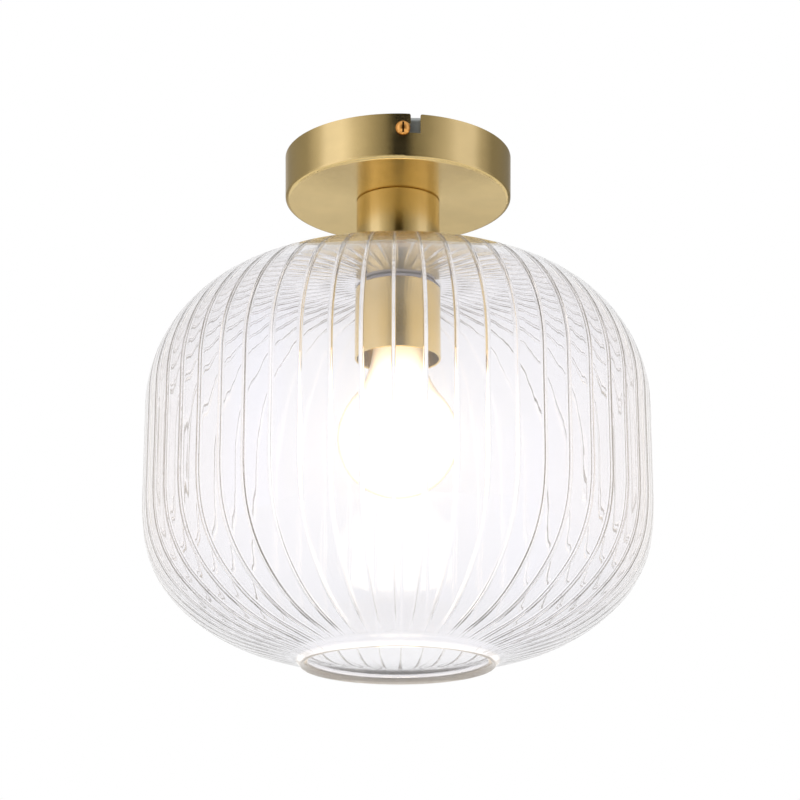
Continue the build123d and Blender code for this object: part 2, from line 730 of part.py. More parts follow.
for pole, place in poles.items():
    with BuildPart() as terminal_insert:
        with BuildSketch(Plane.YZ.offset(block_place)) as insert_ring:
            with Locations((place, terminal_axis)):
                Circle(insert_radius)
                Circle(insert_bore_radius, mode=Mode.SUBTRACT)
        extrude(amount=insert_length / 2, both=True)
        with BuildSketch(Plane.XY.offset(terminal_axis)) as clamp_holes:
            with Locations((block_place, place)):
                with GridLocations(terminal_screw_pitch, 0, 2, 1):
                    Circle(terminal_screw_radius)
        extrude(amount=insert_radius, mode=Mode.SUBTRACT)
    terminal_insert.part.label = f"terminal_insert_{pole}"
    export_step(terminal_insert.part, f"parts/terminal_insert_{pole}.step")

screw_number = 0
for place in poles.values():
    for shift in (-terminal_screw_pitch / 2, terminal_screw_pitch / 2):
        screw_number += 1
        with BuildPart(Plane.XY.offset(screw_low)) as terminal_screw:
            with Locations((block_place + shift, place, 0)):
                Cylinder(
                    terminal_screw_radius,
                    tower_top - terminal_screw_sink - screw_low,
                    align=(Align.CENTER, Align.CENTER, Align.MIN),
                )
        terminal_screw.part.label = f"terminal_screw_{screw_number}"
        export_step(terminal_screw.part, f"parts/terminal_screw_{screw_number}.step")

# Wires: live and neutral run over the nipple and down through it to the lampholder, earth runs to its tag
block_face = block_place - block_length / 2
wire_start = block_place - insert_length / 2 + wire_grip
wire_over = nipple_top + wire_arch
wire_end = holder_top - terminal_hole_depth
nipple_end = nipple_top - nipple_length
for name, side in (("live_wire", -1), ("neutral_wire", 1)):
    with BuildPart() as wire:
        with BuildLine() as route:
            FilletPolyline(
                (wire_start, side * block_pitch, terminal_axis),
                (block_face - wire_lead, side * block_pitch, terminal_axis),
                (block_face - wire_lead - wire_arch_run, side * wire_arch_place, wire_over - wire_arch_dip),
                (0, side * wire_pair_offset, wire_over),
                (0, side * wire_pair_offset, nipple_end - wire_exit),
                (0, side * terminal_hole_place, holder_top + wire_entry),
                (0, side * terminal_hole_place, wire_end),
                radius=wire_bend_radius,
            )
        with BuildSketch(Plane(route.wire() @ 0, z_dir=route.wire() % 0)) as wire_section:
            Circle(wire_radius)
        sweep()
    wire.part.label = name
    export_step(wire.part, f"parts/{name}.step")

with BuildPart() as earth_wire:
    with BuildSketch(Plane.YZ.offset(tag_barrel_start)) as earth_section:
        with Locations((0, terminal_axis)):
            Circle(wire_radius)
    extrude(amount=wire_start - tag_barrel_start)
earth_wire.part.label = "earth_wire"
export_step(earth_wire.part, "parts/earth_wire.step")
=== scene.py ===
import bmesh
import bpy
import json
from math import asin, atan2, copysign, cos, pi, radians, sin
from mathutils import Matrix, Vector


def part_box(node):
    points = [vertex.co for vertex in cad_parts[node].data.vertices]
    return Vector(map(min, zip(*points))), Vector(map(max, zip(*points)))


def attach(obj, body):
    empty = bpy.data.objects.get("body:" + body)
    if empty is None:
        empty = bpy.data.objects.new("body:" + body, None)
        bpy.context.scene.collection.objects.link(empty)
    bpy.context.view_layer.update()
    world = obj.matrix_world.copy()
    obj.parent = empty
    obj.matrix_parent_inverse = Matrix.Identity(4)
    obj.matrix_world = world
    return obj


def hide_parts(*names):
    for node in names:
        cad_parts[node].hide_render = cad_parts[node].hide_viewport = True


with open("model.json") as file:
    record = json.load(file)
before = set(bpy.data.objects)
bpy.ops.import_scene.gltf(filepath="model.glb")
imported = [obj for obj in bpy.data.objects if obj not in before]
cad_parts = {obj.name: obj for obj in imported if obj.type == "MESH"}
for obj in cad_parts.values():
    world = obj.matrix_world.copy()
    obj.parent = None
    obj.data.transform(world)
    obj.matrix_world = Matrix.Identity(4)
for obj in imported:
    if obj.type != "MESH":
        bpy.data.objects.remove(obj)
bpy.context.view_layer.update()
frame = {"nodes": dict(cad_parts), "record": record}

bl_info = {
    "name": "Fluted Glass Ceiling Light",
    "version": (1, 0, 0),
    "blender": (4, 5, 0),
    "location": "View3D > Sidebar > Ceiling Light",
    "description": "Dresses the ceiling light: brass canopy, fluted glass shade, lampholder and bulb",
    "category": "Object",
}

MM = 0.001

# Rows of vertices from the middle of a groove to the middle of a flute
ROWS_PER_HALF_FLUTE = 6

# Places of the first rows, in half widths of the groove; the rest are spread evenly, counted from row 3
GROOVE_ROWS = (0.0, 0.3, 0.65, 1.0, 1.25)
EVEN_ROWS_FROM = 3

# Widest half groove as a share of half a flute, and the power that curves the sides of a groove
WIDEST_GROOVE = 0.4
GROOVE_POWER = 1.5

# Band at the rim of the glass with a painted glow, and how strongly, where the floor of a groove has 1
RIM_BAND = 2.5 * MM
PAINTED_RIM_GLOW = 1.8

# Painted glow given off by the floor of a groove, and the share of haze in the clear glass
PAINTED_GROOVE_GLOW = 0.11
HAZE = 0.08

# Vertices closer than this lie at one height or on one circle
TOUCH = 0.01 * MM

# Eased edges of the rim of the glass and of the bulb cap, and the slant of the walls of a driver slot
RIM_EASE = 0.5 * MM
CAP_EASE = 0.15 * MM
SLOT_WALL = 0.02 * MM

# Rows and columns of vertices in one turn of the thread of the bulb
THREAD_ROWS = 12
THREAD_COLUMNS = 96

# Faces of the bulb cap that meet at more than this are its ends
CAP_END_ANGLE = pi / 3

# Columns of vertices round a lock screw, and the angle from which its edges look sharp
SCREW_COLUMNS = 64
SCREW_SHARP_ANGLE = radians(40)

# The brightest height of the bulb under the ceiling, its dim neck and the radius of its ball
BULB_MIDDLE = 172 * MM
BULB_NECK = 7 * MM
BALL_RADIUS = 30 * MM

# Brightness of the room by degrees from the front, the same to the left and to the right
ROOM_LEVELS = (
    (0, 0.0),
    (6, 0.0),
    (10, 0.1),
    (15, 0.23),
    (30, 0.45),
    (47, 0.75),
    (60, 1.1),
    (79, 1.1),
    (90, 0.65),
    (108, 0.34),
    (150, 0.3),
    (166, 0.48),
    (180, 0.53),
)

# Colours of the background, of the room above and below, and of what the edges of the glass show
WHITE = (1, 1, 1, 1)
STEEP_GREY = (0.8, 0.8, 0.8, 1)
WARM_WHITE = (1.08, 1.03, 0.98, 1)

# The floor, in metres
FLOOR_REACH = 6.0
FLOOR_DROP = 2.4

# The camera of the photograph: metres from the axis and below the ceiling, degrees of swing, tilt and pan
CAMERA_DISTANCE = 1.142
CAMERA_DROP = 0.488
CAMERA_SWING = 2.4
CAMERA_TILT = 17.44
CAMERA_PAN = 0.05


def srgb(code):
    """Linear colour with alpha of an sRGB hex value such as #C9A86A."""
    channels = [int(code[i:i + 2], 16) / 255 for i in (1, 3, 5)]
    linear = [c / 12.92 if c <= 0.04045 else ((c + 0.055) / 1.055) ** 2.4 for c in channels]
    return (*linear, 1.0)


def colour(name, code, description):
    """A colour setting with an sRGB hex default."""
    return bpy.props.FloatVectorProperty(
        name=name, description=description, subtype="COLOR", size=4, min=0, max=1, default=srgb(code)
    )


def length(name, millimetres, description):
    """A length setting, written in millimetres and kept in metres."""
    return bpy.props.FloatProperty(
        name=name, description=description, subtype="DISTANCE", unit="LENGTH", default=millimetres * MM
    )


def angle(name, degrees, description):
    """An angle setting, written in degrees and kept in radians."""
    return bpy.props.FloatProperty(
        name=name, description=description, subtype="ANGLE", unit="ROTATION", default=radians(degrees)
    )


shade_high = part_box("glass_shade")[1]


class ShadeSettings(bpy.types.PropertyGroup):
    """Sizes and colour of the fluted glass shade."""

    radius: length("Radius", min(shade_high.x, shade_high.y) / MM, "Radius over the crests of the flutes")
    wall: length("Wall", 4.0, "Thickness of the glass under a crest")
    hole_radius: length("Hole radius", 17.8, "Hole for the holder sleeve")
    clamp_radius: length("Clamp radius", 23.2, "Outer edge of the flat land under the gasket")
    mouth_radius: length("Mouth radius", 46.7, "Outer radius of the bottom rim")
    shoulder_bend: length("Shoulder bend", 70.0, "Bend radius of the shoulder")
    side_height: length("Side height", 48.5, "Straight part of the side")
    flank_bend: length("Flank bend", 110.0, "Bend radius where the side starts to turn in")
    heel_bend: length("Heel bend", 55.0, "Bend radius of the lower corner")
    base_bend: length("Base bend", 86.0, "Bend radius of the base")
    lip_bend: length("Lip bend", 10.0, "Bend radius of the turned-down lip")
    crown_slope: angle("Crown slope", 6.0, "Slope where the crown meets the shoulder")
    flank_slope: angle("Flank slope", 81.0, "Slope where the flank meets the heel")
    heel_slope: angle("Heel slope", 46.0, "Slope where the heel meets the base")
    base_slope: angle("Base slope", 16.0, "Slope of the straight base")
    lip_slope: angle("Lip slope", 60.0, "Slope at the cut rim")
    flutes: bpy.props.IntProperty(name="Flutes", description="Flutes round the shade", default=54, min=3)
    groove_depth: length("Groove depth", 0.4, "Depth of the grooves between the flutes")
    groove_width: length("Groove width", 1.8, "Width of the grooves between the flutes")
    fade_start: length("Fade start", 50.0, "Radius at which the flutes have faded out near the mouth")
    fade_end: length("Fade end", 74.0, "Radius at which the flutes have their full depth")
    tint: colour("Tint", "#FAFAFD", "Colour of the clear glass")


class CapSettings(bpy.types.PropertyGroup):
    """Sizes of the screw cap of the bulb."""

    wall: length("Wall", 0.6, "Thickness of the cap over the neck of the bulb")
    skirt: length("Skirt", 3.6, "Plain band under the thread")
    crown: length("Crown", 1.2, "Plain band over the thread")
    pitch: length("Pitch", 3.6, "Pitch of the thread")
    depth: length("Depth", 0.5, "Depth of the rolled thread")


class ScrewSettings(bpy.types.PropertyGroup):
    """Sizes of the two round-head lock screws."""

    head_height: length("Head height", 2.6, "Height of the domed head")
    head_edge: length("Head edge", 0.4, "Straight edge under the dome")
    shank: length("Shank", 2.0, "Radius of the shank")
    slot_width: length("Slot width", 0.9, "Width of the driver slot")
    slot_depth: length("Slot depth", 1.3, "Depth of the driver slot")


class FinishSettings(bpy.types.PropertyGroup):
    """Colours of the metal, plastic and light."""

    brass: colour("Satin brass", "#E2C789", "Brushed and lacquered brass of canopy, neck and ring")
    screw_brass: colour("Polished brass", "#EBAA5C", "Polished lock screws")
    steel: colour("Zinc plated steel", "#B9BDBB", "Bracket, nipple, nuts and washers")
    glow: colour("Lamp light", "#FFE9C4", "Warm white light of the bulb")
    backdrop: colour("Backdrop", "#FFFFFF", "Background and floor")


def add_node(tree, kind, inputs=None, **settings):
    """Adds a node, sets it and fills its inputs with values or with links from other sockets."""
    node = tree.nodes.new(kind)
    for name, value in settings.items():
        setattr(node, name, value)
    for socket, value in (inputs or {}).items():
        if isinstance(value, bpy.types.NodeSocket):
            tree.links.new(value, node.inputs[socket])
        else:
            node.inputs[socket].default_value = value
    return node


def new_material(name):
    """An empty material and its node tree."""
    material = bpy.data.materials.new(name)
    material.use_nodes = True
    material.node_tree.nodes.clear()
    return material, material.node_tree


def finish_material(tree, shader):
    """Links the surface to the output."""
    add_node(tree, "ShaderNodeOutputMaterial", {"Surface": shader})


def dress(material, name):
    """Gives a CAD node a material."""
    mesh = frame["nodes"][name].data
    mesh.materials.clear()
    mesh.materials.append(material)


def per_metre(millimetres):
    """Scale of a pattern whose marks are so many millimetres wide."""
    return 1 / (millimetres * MM)


def clouded(tree, noise, base, span, tones):
    """A base colour made darker and lighter by a noise: the tones hold at the two ends of the span."""
    tone = add_node(
        tree,
        "ShaderNodeMapRange",
        {
            "Value": noise.outputs["Fac"],
            "From Min": span[0],
            "From Max": span[1],
            "To Min": tones[0],
            "To Max": tones[1],
        },
    )
    shade = add_node(
        tree,
        "ShaderNodeVectorMath",
        {0: base[:3], "Scale": tone.outputs[0]},
        operation="SCALE",
    )
    return shade.outputs[0]


def finish_piece(bm, name, material, body):
    """Turns a bmesh into a smooth piece that rides on a body."""
    for face in bm.faces:
        face.smooth = True
    mesh = bpy.data.meshes.new(name)
    bm.to_mesh(mesh)
    bm.free()
    mesh.materials.append(material)
    piece = bpy.data.objects.new(name, mesh)
    bpy.context.scene.collection.objects.link(piece)
    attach(piece, body)
    return piece


def satin_brass(finish):
    """Brushed brass under clear lacquer: fine rings round the axis stretch each reflection across them."""
    material, tree = new_material("satin_brass_brushed_round")
    place = add_node(tree, "ShaderNodeTexCoord").outputs["Object"]
    tangent = add_node(tree, "ShaderNodeTangent", direction_type="RADIAL", axis="Z").outputs[0]
    axes = add_node(tree, "ShaderNodeSeparateXYZ", {0: place})
    square_x = add_node(
        tree,
        "ShaderNodeMath",
        {0: axes.outputs["X"], 1: axes.outputs["X"]},
        operation="MULTIPLY",
    )
    square = add_node(
        tree,
        "ShaderNodeMath",
        {0: axes.outputs["Y"], 1: axes.outputs["Y"], 2: square_x.outputs[0]},
        operation="MULTIPLY_ADD",
    )
    radius = add_node(tree, "ShaderNodeMath", {0: square.outputs[0]}, operation="SQRT")
    rings = add_node(tree, "ShaderNodeCombineXYZ", {0: radius.outputs[0], 2: axes.outputs["Z"]})
    # Brush marks are about 0.05 mm wide, drawn at 0.4 mm so that they show
    marks = add_node(
        tree,
        "ShaderNodeTexNoise",
        {"Vector": rings.outputs[0], "Scale": per_metre(0.4), "Detail": 3.0},
    )
    # Clouds in the lacquer are about 17 mm wide
    cloud = add_node(
        tree,
        "ShaderNodeTexNoise",
        {"Vector": place, "Scale": per_metre(50 / 3), "Detail": 2.0},
    )
    rough = add_node(
        tree,
        "ShaderNodeMapRange",
        {"Value": marks.outputs["Fac"], "From Min": 0.3, "From Max": 0.7, "To Min": 0.16, "To Max": 0.21},
    )
    bump = add_node(
        tree,
        "ShaderNodeBump",
        {"Height": marks.outputs["Fac"], "Strength": 0.05, "Distance": 0.1 * MM},
    )
    shader = add_node(
        tree,
        "ShaderNodeBsdfPrincipled",
        {
            "Base Color": clouded(tree, cloud, finish.brass, (0.3, 0.7), (0.94, 1.03)),
            "Metallic": 1.0,
            "Roughness": rough.outputs[0],
            "Anisotropic": 0.9,
            "Anisotropic Rotation": 0.25,
            "Tangent": tangent,
            "Normal": bump.outputs[0],
        },
    )
    finish_material(tree, shader.outputs[0])
    return material


def plain_metal(name, base, roughness, marks):
    """Plated or drawn metal: an even tone with faint handling marks, so many millimetres wide."""
    material, tree = new_material(name)
    place = add_node(tree, "ShaderNodeTexCoord").outputs["Object"]
    cloud = add_node(
        tree,
        "ShaderNodeTexNoise",
        {"Vector": place, "Scale": per_metre(marks), "Detail": 4.0},
    )
    rough = add_node(
        tree,
        "ShaderNodeMapRange",
        {
            "Value": cloud.outputs["Fac"],
            "From Min": 0.3,
            "From Max": 0.7,
            "To Min": roughness * 0.8,
            "To Max": roughness * 1.25,
        },
    )
    tint = clouded(tree, cloud, base, (0.25, 0.75), (0.9, 1.05))
    shader = add_node(
        tree,
        "ShaderNodeBsdfPrincipled",
        {"Base Color": tint, "Metallic": 1.0, "Roughness": rough.outputs[0]},
    )
    finish_material(tree, shader.outputs[0])
    return material


def moulded(name, base, roughness, marks, ior=1.5):
    """Moulded, glazed or extruded skin: one colour, uneven gloss, marks so many millimetres wide."""
    material, tree = new_material(name)
    place = add_node(tree, "ShaderNodeTexCoord").outputs["Object"]
    cloud = add_node(
        tree,
        "ShaderNodeTexNoise",
        {"Vector": place, "Scale": per_metre(marks), "Detail": 3.0},
    )
    rough = add_node(
        tree,
        "ShaderNodeMapRange",
        {"Value": cloud.outputs["Fac"], "To Min": roughness * 0.8, "To Max": roughness * 1.2},
    )
    tint = clouded(tree, cloud, base, (0.25, 0.75), (0.93, 1.03))
    shader = add_node(
        tree,
        "ShaderNodeBsdfPrincipled",
        {"Base Color": tint, "Roughness": rough.outputs[0], "IOR": ior},
    )
    finish_material(tree, shader.outputs[0])
    return material


def fluted_glass(shade):
    """Clear soda-lime glass blown in a fluted mould: soft streaks, a trace of haze, painted glow in
    grooves, rim and near the bulb.
    """
    material, tree = new_material("clear_soda_lime_glass")
    place = add_node(tree, "ShaderNodeTexCoord").outputs["Object"]
    # Streaks left by the mould are about 5 mm wide and 60 mm long
    streaks = (per_metre(5.0), per_metre(5.0), per_metre(62.5))
    stretch = add_node(tree, "ShaderNodeMapping", {"Vector": place, "Scale": streaks})
    ripple = add_node(
        tree,
        "ShaderNodeTexNoise",
        {"Vector": stretch.outputs[0], "Scale": 1.0, "Detail": 1.0},
    )
    bump = add_node(
        tree,
        "ShaderNodeBump",
        {"Height": ripple.outputs["Fac"], "Strength": 1.0, "Distance": 0.01 * MM},
    )
    # Painted glow, strongest on the glass at the height of the bulb and fading above and below it
    axes = add_node(tree, "ShaderNodeSeparateXYZ", {0: place})
    above = add_node(tree, "ShaderNodeMath", {0: axes.outputs["Z"], 1: BULB_MIDDLE}, operation="ADD")
    away = add_node(tree, "ShaderNodeMath", {0: above.outputs[0]}, operation="ABSOLUTE")
    painted_halo = add_node(
        tree,
        "ShaderNodeMapRange",
        {
            "Value": away.outputs[0],
            "From Min": 15 * MM,
            "From Max": 85 * MM,
            "To Min": 0.03,
            "To Max": 0.004,
        },
        interpolation_type="SMOOTHSTEP",
    )
    # Painted glow stored on the vertices: in the floors of the grooves and in the band at the rim
    edges = add_node(tree, "ShaderNodeAttribute", attribute_name="painted_glow")
    glow = add_node(
        tree,
        "ShaderNodeMath",
        {0: edges.outputs["Fac"], 1: PAINTED_GROOVE_GLOW, 2: painted_halo.outputs[0]},
        operation="MULTIPLY_ADD",
    )
    clear = add_node(
        tree,
        "ShaderNodeBsdfPrincipled",
        {
            "Base Color": shade.tint,
            "Emission Color": srgb("#FFF1DF"),
            "Emission Strength": glow.outputs[0],
            "Roughness": 0.0,
            "IOR": 1.5,
            "Transmission Weight": 1.0,
            "Normal": bump.outputs[0],
        },
    )
    haze = add_node(
        tree,
        "ShaderNodeBsdfPrincipled",
        {"Base Color": shade.tint, "Roughness": 0.5, "IOR": 1.5, "Transmission Weight": 1.0},
    )
    glass = add_node(tree, "ShaderNodeMixShader", {0: HAZE, 1: clear.outputs[0], 2: haze.outputs[0]})
    finish_material(tree, glass.outputs[0])
    return material


def lit_bulb(finish):
    """Frosted glass lit from inside: brightest in the middle of the ball, dim at neck and edge."""
    material, tree = new_material("frosted_bulb_glass")
    place = add_node(tree, "ShaderNodeTexCoord").outputs["Object"]
    axes = add_node(tree, "ShaderNodeSeparateXYZ", {0: place})
    low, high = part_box("bulb_envelope")
    rise = add_node(
        tree,
        "ShaderNodeMapRange",
        {
            "Value": axes.outputs["Z"],
            "From Min": high.z - BULB_NECK,
            "From Max": low.z + BALL_RADIUS,
            "To Min": 0.7,
            "To Max": 4.5,
        },
        interpolation_type="SMOOTHSTEP",
    )
    facing = add_node(tree, "ShaderNodeLayerWeight", {"Blend": 0.5})
    limb = add_node(
        tree,
        "ShaderNodeMapRange",
        {
            "Value": facing.outputs["Facing"],
            "From Min": 0.2,
            "From Max": 0.9,
            "To Min": 1.0,
            "To Max": 0.05,
        },
        interpolation_type="SMOOTHSTEP",
    )
    glow = add_node(tree, "ShaderNodeMath", {0: rise.outputs[0], 1: limb.outputs[0]}, operation="MULTIPLY")
    shader = add_node(
        tree,
        "ShaderNodeBsdfPrincipled",
        {
            "Base Color": srgb("#F1E6D2"),
            "Roughness": 0.45,
            "IOR": 1.5,
            "Emission Color": finish.glow,
            "Emission Strength": glow.outputs[0],
        },
    )
    finish_material(tree, shader.outputs[0])
    return material


def heading(turned):
    """Direction in the plane of a profile, turned down from outward by an angle."""
    return Vector((cos(turned), 0, -sin(turned)))


def draw_line(bm, vert, distance, turned, steps=1):
    """Draws a profile straight on from a vertex and returns the last vertex."""
    for _ in range(steps):
        vert = bmesh.ops.extrude_vert_indiv(bm, verts=[vert])["verts"][0]
        bmesh.ops.translate(bm, verts=[vert], vec=heading(turned) * distance / steps)
    return vert


def draw_bend(bm, vert, radius, start, end, steps):
    """Spins a vertex of a profile round the centre of a bend and returns the last vertex."""
    centre = vert.co + copysign(radius, end - start) * heading(start + pi / 2)
    drawn = bmesh.ops.spin(bm, geom=[vert], cent=centre, axis=(0, 1, 0), angle=end - start, steps=steps)
    return drawn["geom_last"][0]


def revolve(bm, steps):
    """Spins a whole profile round the upright axis and closes it."""
    bmesh.ops.spin(
        bm,
        geom=bm.verts[:] + bm.edges[:],
        cent=(0, 0, 0),
        axis=(0, 0, 1),
        angle=2 * pi,
        steps=steps,
        use_merge=True,
    )
    bmesh.ops.remove_doubles(bm, verts=bm.verts, dist=1e-6)
    bmesh.ops.recalc_face_normals(bm, faces=bm.faces)


def ease_edges(bm, edges, offset):
    """Rounds edges a little, so that they catch the light."""
    bmesh.ops.bevel(bm, geom=edges, offset=offset, affect="EDGES", segments=2, profile=0.5, material=-1)


def draw_shade(bm, shade):
    """Draws the outside of the shade from its hole over the shoulder and the heel to the rim."""
    flank = pi - shade.flank_slope
    heel = pi - shade.heel_slope
    base = pi - shade.base_slope
    lip = pi - shade.lip_slope
    crown_end = shade.radius - shade.shoulder_bend * (1 - sin(shade.crown_slope))
    crown_bend = (crown_end - shade.clamp_radius) / sin(shade.crown_slope)
    vert = bm.verts.new((shade.hole_radius, 0, shade_high.z))
    vert = draw_line(bm, vert, shade.clamp_radius - shade.hole_radius, 0.0)
    vert = draw_bend(bm, vert, crown_bend, 0.0, shade.crown_slope, steps=5)
    vert = draw_bend(bm, vert, shade.shoulder_bend, shade.crown_slope, pi / 2, steps=22)
    vert = draw_line(bm, vert, shade.side_height, pi / 2, steps=2)
    vert = draw_bend(bm, vert, shade.flank_bend, pi / 2, flank, steps=3)
    vert = draw_bend(bm, vert, shade.heel_bend, flank, heel, steps=8)
    vert = draw_bend(bm, vert, shade.base_bend, heel, base, steps=8)
    lip_start = shade.mouth_radius + shade.lip_bend * (sin(lip) - sin(base))
    vert = draw_line(bm, vert, (vert.co.x - lip_start) / cos(shade.base_slope), base, steps=3)
    draw_bend(bm, vert, shade.lip_bend, base, lip, steps=5)


def carve_flute(vert, shade, depth):
    """Draws a vertex of the shade to its groove, sinks it and returns its share of the full depth."""
    radius = vert.co.xy.length
    fade = (radius - shade.clamp_radius) / shade.clamp_radius
    if vert.co.z < shade_high.z - 2 * shade.shoulder_bend:
        fade = (radius - shade.fade_start) / (shade.fade_end - shade.fade_start)
    half_pitch = pi / shade.flutes
    turn = atan2(vert.co.y, vert.co.x) + pi / 2
    even = (turn / half_pitch + 1) % 2 - 1
    row = round((1 - abs(even)) * ROWS_PER_HALF_FLUTE)
    half_width = min(shade.groove_width / 2 / radius, half_pitch * WIDEST_GROOVE)
    gap = half_pitch * (row - EVEN_ROWS_FROM) / (ROWS_PER_HALF_FLUTE - EVEN_ROWS_FROM)
    if row < len(GROOVE_ROWS):
        gap = half_width * GROOVE_ROWS[row]
    carved = min(max(fade, 0.0), 1.0) * max(1 - gap / half_width, 0.0) ** GROOVE_POWER
    vert.co -= carved * depth * vert.normal
    vert.co.rotate(Matrix.Rotation(copysign(half_pitch - gap, even) - even * half_pitch, 3, "Z"))
    return carved


class CEILING_OT_shade(bpy.types.Operator):
    """Models the fluted glass shade and puts it in place of its CAD solid."""

    bl_idname = "ceiling.shade"
    bl_label = "Glass Shade"

    def execute(self, context):
        shade = context.scene.ceiling_shade
        bm = bmesh.new()
        draw_shade(bm, shade)
        revolve(bm, shade.flutes * 2 * ROWS_PER_HALF_FLUTE)
        rim_height = min(vert.co.z for vert in bm.verts)
        # Solidify moves these first vertices in by the wall and leaves a copy outside
        inside = set(bm.verts)
        bmesh.ops.solidify(bm, geom=bm.faces[:], thickness=shade.wall)
        bmesh.ops.recalc_face_normals(bm, faces=bm.faces)
        bm.normal_update()
        # Each outer vertex keeps a painted glow: its share of the groove depth, or a stronger one in the
        # band at the rim
        painted_glow = bm.verts.layers.float.new("painted_glow")
        for vert in bm.verts:
            if vert in inside:
                carve_flute(vert, shade, 0.0)
            else:
                vert[painted_glow] = carve_flute(vert, shade, shade.groove_depth)
            if vert in inside and vert.co.z < rim_height + shade.wall:
                vert.co.z = rim_height
            if vert.co.z < rim_height + RIM_BAND:
                vert[painted_glow] = PAINTED_RIM_GLOW
        loops = []
        for edge in bm.edges:
            start, end = (vert.co for vert in edge.verts)
            if max(start.z, end.z) < rim_height + TOUCH and abs(start.xy.length - end.xy.length) < TOUCH:
                loops.append(edge)
        ease_edges(bm, loops, RIM_EASE)
        piece = finish_piece(bm, "fluted_glass_shade", fluted_glass(shade), "canopy")
        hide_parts("glass_shade")
        return {"FINISHED"}


def carve_thread(vert, cap, low, high):
    """Sinks a vertex of the skin of the cap towards the root of its right-hand thread."""
    from_end = min(vert.co.z - low - cap.skirt, high - cap.crown - vert.co.z)
    fade = min(max(2 * from_end / cap.pitch, 0.0), 1.0)
    turn = atan2(vert.co.y, vert.co.x) / (2 * pi)
    wave = 0.5 - 0.5 * cos(2 * pi * (vert.co.z / cap.pitch - turn))
    vert.co -= fade * wave * cap.depth * vert.normal


class CEILING_OT_bulb_cap(bpy.types.Operator):
    """Models the screw cap of the bulb with its rolled thread and puts it in place of its CAD solid."""

    bl_idname = "ceiling.bulb_cap"
    bl_label = "Bulb Cap"

    def execute(self, context):
        cap = context.scene.ceiling_cap
        low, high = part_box("bulb_cap")
        radius = min(high.x, high.y)
        height = high.z - low.z
        bm = bmesh.new()
        vert = bm.verts.new((radius - cap.wall, 0, high.z))
        vert = draw_line(bm, vert, cap.wall, 0.0)
        vert = draw_line(bm, vert, height, pi / 2, round(height / cap.pitch * THREAD_ROWS))
        vert = draw_line(bm, vert, cap.wall, pi)
        draw_line(bm, vert, height, -pi / 2)
        revolve(bm, THREAD_COLUMNS)
        bm.normal_update()
        for vert in bm.verts:
            if vert.co.xy.length > radius - cap.wall / 2:
                carve_thread(vert, cap, low.z, high.z)
        ends = [edge for edge in bm.edges if edge.calc_face_angle() > CAP_END_ANGLE]
        ease_edges(bm, ends, CAP_EASE)
        metal = frame["nodes"]["bulb_cap"].data.materials[0]
        piece = finish_piece(bm, "bulb_screw_cap", metal, "bulb")
        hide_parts("bulb_cap")
        return {"FINISHED"}


def cut_slot(bm, top, screw):
    """Cuts a driver slot across a head: two narrow bands of faces become its walls, the rest its floor."""
    half = screw.slot_width / 2
    for place in (-half, -half + SLOT_WALL, half - SLOT_WALL, half):
        bmesh.ops.bisect_plane(
            bm, geom=bm.verts[:] + bm.edges[:] + bm.faces[:], plane_co=(place, 0, 0), plane_no=(1, 0, 0)
        )
    for vert in bm.verts:
        if abs(vert.co.x) < half - SLOT_WALL / 2:
            vert.co.z = min(vert.co.z, top - screw.slot_depth)


class CEILING_OT_lock_screws(bpy.types.Operator):
    """Models the lock screws with domed, slotted heads and puts them in place of their CAD solids."""

    bl_idname = "ceiling.lock_screws"
    bl_label = "Lock Screws"

    def execute(self, context):
        screw = context.scene.ceiling_screw
        for name, turn in (("lock_screw_front", pi / 2), ("lock_screw_rear", -pi / 2)):
            low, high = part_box(name)
            radius = (high.x - low.x) / 2
            reach = high.y - low.y
            rise = screw.head_height - screw.head_edge
            dome = (radius ** 2 + rise ** 2) / (2 * rise)
            bm = bmesh.new()
            vert = bm.verts.new((0, 0, reach / 2))
            vert = draw_bend(bm, vert, dome, 0.0, asin(radius / dome), steps=14)
            vert = draw_line(bm, vert, screw.head_edge, pi / 2)
            vert = draw_line(bm, vert, radius - screw.shank, pi)
            vert = draw_line(bm, vert, reach - screw.head_height, pi / 2)
            draw_line(bm, vert, screw.shank, pi)
            revolve(bm, SCREW_COLUMNS)
            cut_slot(bm, reach / 2, screw)
            bmesh.ops.recalc_face_normals(bm, faces=bm.faces)
            place = Matrix.Translation((low + high) / 2) @ Matrix.Rotation(turn, 4, "X")
            bmesh.ops.transform(bm, matrix=place, verts=bm.verts)
            metal = frame["nodes"][name].data.materials[0]
            piece = finish_piece(bm, name + "_round_head", metal, name)
            piece.data.set_sharp_from_angle(angle=SCREW_SHARP_ANGLE)
            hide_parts(name)
        return {"FINISHED"}


